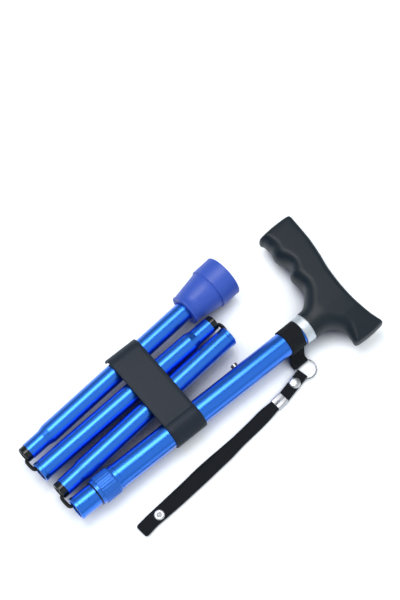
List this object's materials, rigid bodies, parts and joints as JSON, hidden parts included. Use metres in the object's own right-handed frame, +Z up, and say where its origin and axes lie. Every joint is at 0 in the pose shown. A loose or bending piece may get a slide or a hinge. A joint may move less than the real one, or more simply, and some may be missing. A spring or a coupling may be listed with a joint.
{
  "type": "folding cane",
  "caption": "Folding walking cane, folded: blue tubes on an elastic cord, moulded crutch-style handle, rubber tip, storage clip and wrist strap.",
  "frame": {"origin": "middle of the bounding box on the table, cane folded and lying flat", "axes": "+X along the lower sections from the fold end to the rubber tip, +Y from the upper section to the tip section, +Z up from the table"},
  "size_m": [0.3187, 0.1468, 0.038],
  "materials": {
    "grip_plastic": "satin",
    "ferrule_metal": "bright",
    "blue_tube": "anodised, glossy",
    "button_metal": "polished",
    "spring_steel": "satin",
    "lock_plastic": "glossy",
    "clip_plastic": "matte",
    "plug_plastic": "satin",
    "cord_fabric": "braided",
    "tip_rubber": "matte",
    "washer_steel": "plain",
    "webbing": "woven",
    "fitting_chrome": "polished"
  },
  "bodies": {
    "upper_section": {"upper_tube": "blue_tube", "upper_anchor": "plug_plastic", "upper_cord": "cord_fabric", "button_spring": "spring_steel"},
    "snap_button": {"snap_button": "button_metal"},
    "handle": {"handle_grip": "grip_plastic", "handle_ferrule": "ferrule_metal", "handle_tube": "blue_tube"},
    "lock_sleeve": {"lock_sleeve": "lock_plastic"},
    "lock_nut": {"lock_nut": "lock_plastic"},
    "storage_clip": {"storage_clip": "clip_plastic"},
    "strap_band": {"strap_band": "webbing"},
    "split_ring": {"split_ring": "fitting_chrome"},
    "wrist_strap": {"strap_tab": "webbing", "snap_cap": "fitting_chrome", "snap_post": "fitting_chrome", "strap_crimp": "fitting_chrome", "wrist_strap": "webbing", "strap_rivet": "fitting_chrome"},
    "upper_link": {"upper_loop": "cord_fabric"},
    "second_section": {"second_tube": "blue_tube", "second_plug": "plug_plastic", "second_cord": "cord_fabric"},
    "second_link": {"second_loop": "cord_fabric"},
    "third_section": {"third_tube": "blue_tube", "third_plug": "plug_plastic", "third_cord": "cord_fabric"},
    "third_link": {"third_loop": "cord_fabric"},
    "tip_section": {"tip_tube": "blue_tube", "tip_plug": "plug_plastic", "tip_cord": "cord_fabric", "tip_anchor": "plug_plastic", "rubber_tip": "tip_rubber", "tip_washer": "washer_steel"}
  },
  "joints": [
    {"name": "seat_second", "type": "slide", "parent": "upper_section", "child": "upper_link", "axis": [0.9968, -0.0802, 0], "range_m": [0, 0.02582], "deforming": ["upper_cord", "upper_loop"]},
    {"name": "unfold", "type": "hinge", "parent": "upper_link", "child": "second_section", "pos_m": [-0.15657, 0.00174, 0.019], "axis": [0, 0, 1], "range_deg": [0, 175.4]},
    {"name": "seat_third", "type": "slide", "parent": "second_section", "child": "second_link", "axis": [-1, 0, 0], "range_m": [0, 0.02522], "deforming": ["second_cord", "second_loop"]},
    {"name": "fold_third", "type": "hinge", "parent": "second_link", "child": "third_section", "pos_m": [0.04243, 0.02089, 0.019], "axis": [0, 0, 1], "range_deg": [-178.6, 0]},
    {"name": "seat_tip", "type": "slide", "parent": "third_section", "child": "third_link", "axis": [0.9997, -0.0244, 0], "range_m": [0, 0.0253], "deforming": ["third_cord", "third_loop"]},
    {"name": "fold_tip", "type": "hinge", "parent": "third_link", "child": "tip_section", "pos_m": [-0.15657, 0.04472, 0.019], "axis": [0, 0, 1], "range_deg": [0, 178.6]},
    {"name": "height_adjust", "type": "slide", "parent": "upper_section", "child": "handle", "axis": [0.9968, -0.0802, 0], "range_m": [0, 0.05]},
    {"name": "button_press", "type": "slide", "parent": "upper_section", "child": "snap_button", "axis": [0.0802, 0.9968, 0], "range_m": [-0.0043, 0], "stiffness_N_per_m": 400, "deforming": ["snap_button", "button_spring"]},
    {"name": "lock_slide", "type": "slide", "parent": "handle", "child": "lock_sleeve", "axis": [0.9968, -0.0802, 0], "range_m": [-0.004, 0]},
    {"name": "lock_turn", "type": "hinge", "parent": "handle", "child": "lock_nut", "pos_m": [-0.12118, -0.01132, 0.019], "axis": [0.9968, -0.0802, 0], "continuous": true},
    {"name": "clip_swing", "type": "hinge", "parent": "upper_section", "child": "storage_clip", "pos_m": [-0.04214, -0.01767, 0.019], "axis": [0.9968, -0.0802, 0], "range_deg": [0, 141]},
    {"name": "strap_turn", "type": "hinge", "parent": "handle", "child": "strap_band", "pos_m": [0.07718, -0.02728, 0.019], "axis": [-0.9968, 0.0802, 0], "range_deg": [0, 90]},
    {"name": "ring_swing", "type": "hinge", "parent": "strap_band", "child": "split_ring", "pos_m": [0.07171, -0.04289, 0.003], "axis": [-0.9968, 0.0802, 0], "range_deg": [0, 20]},
    {"name": "strap_swing", "type": "hinge", "parent": "split_ring", "child": "wrist_strap", "pos_m": [0.06229, -0.05288, 0.003], "axis": [-0.1392, 0.9903, 0], "range_deg": [0, 60]}
  ],
  "couplings": [
    {"joint": "fold_third", "follows": "unfold", "ratio": -1.0182},
    {"joint": "fold_tip", "follows": "unfold", "ratio": 1.0182},
    {"joint": "clip_swing", "follows": "unfold", "ratio": 0.8}
  ]
}
